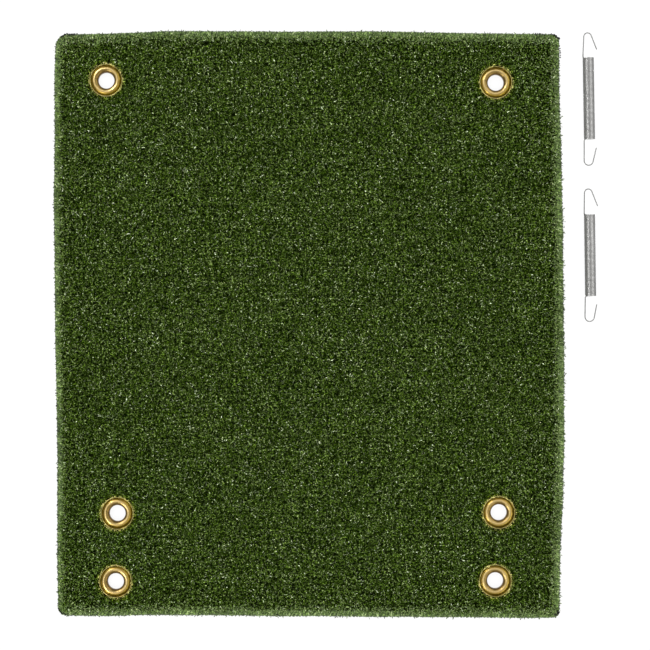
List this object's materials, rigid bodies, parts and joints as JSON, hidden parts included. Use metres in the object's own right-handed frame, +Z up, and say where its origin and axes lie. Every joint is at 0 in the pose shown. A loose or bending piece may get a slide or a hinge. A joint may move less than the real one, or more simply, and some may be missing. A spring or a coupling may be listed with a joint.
{
  "type": "golf hitting mat",
  "caption": "Rectangular tufted-turf golf hitting mat with overlocked edges, set brass grommets and loose close-wound extension springs with side hooks.",
  "frame": {"origin": "centre of the mat's underside, on the surface that it lies on", "axes": "+X to the right and +Y to the back as seen from the front edge, the edge with four grommets near it; +Z up"},
  "size_m": [0.5441, 0.584, 0.0112],
  "materials": {
    "turf_yarn": "curly matt nylon yarn, mixed greens",
    "binding_yarn": "overlocked multifilament yarn, lighter green",
    "backing_cloth": "woven black polypropylene tape",
    "base_rubber": "matt black foamed rubber with a fine waffle",
    "grommet_brass": "polished, lightly tarnished",
    "washer_brass": "stamped, dull",
    "spring_wire": "zinc-plated drawn wire"
  },
  "bodies": {
    "mat": {"turf_pile": "turf_yarn", "primary_backing": "backing_cloth", "secondary_backing": "base_rubber", "binding_left": "binding_yarn", "binding_right": "binding_yarn", "binding_back": "binding_yarn", "binding_front": "binding_yarn", "grommet_back_left": "grommet_brass", "grommet_back_right": "grommet_brass", "grommet_mid_left": "grommet_brass", "grommet_mid_right": "grommet_brass", "grommet_front_left": "grommet_brass", "grommet_front_right": "grommet_brass", "washer_back_left": "washer_brass", "washer_back_right": "washer_brass", "washer_mid_left": "washer_brass", "washer_mid_right": "washer_brass", "washer_front_left": "washer_brass", "washer_front_right": "washer_brass"},
    "spring_1": {"spring_1_coil": "spring_wire", "spring_1_fixed_hook": "spring_wire"},
    "spring_1_hook": {"spring_1_moving_hook": "spring_wire"},
    "spring_2": {"spring_2_coil": "spring_wire", "spring_2_fixed_hook": "spring_wire"},
    "spring_2_hook": {"spring_2_moving_hook": "spring_wire"}
  },
  "joints": [
    {"name": "spring_1_lift", "type": "slide", "parent": "mat", "child": "spring_1", "axis": [0, 0, 1], "range_m": [0, 0.15]},
    {"name": "spring_1_stretch", "type": "slide", "parent": "spring_1", "child": "spring_1_hook", "axis": [-0.0157, 0.9999, 0], "range_m": [0, 0.08], "stiffness_N_per_m": 285, "deforming": ["spring_1_coil"]},
    {"name": "spring_2_lift", "type": "slide", "parent": "mat", "child": "spring_2", "axis": [0, 0, 1], "range_m": [0, 0.15]},
    {"name": "spring_2_stretch", "type": "slide", "parent": "spring_2", "child": "spring_2_hook", "axis": [0.0136, -0.9999, 0], "range_m": [0, 0.08], "stiffness_N_per_m": 285, "deforming": ["spring_2_coil"]}
  ]
}
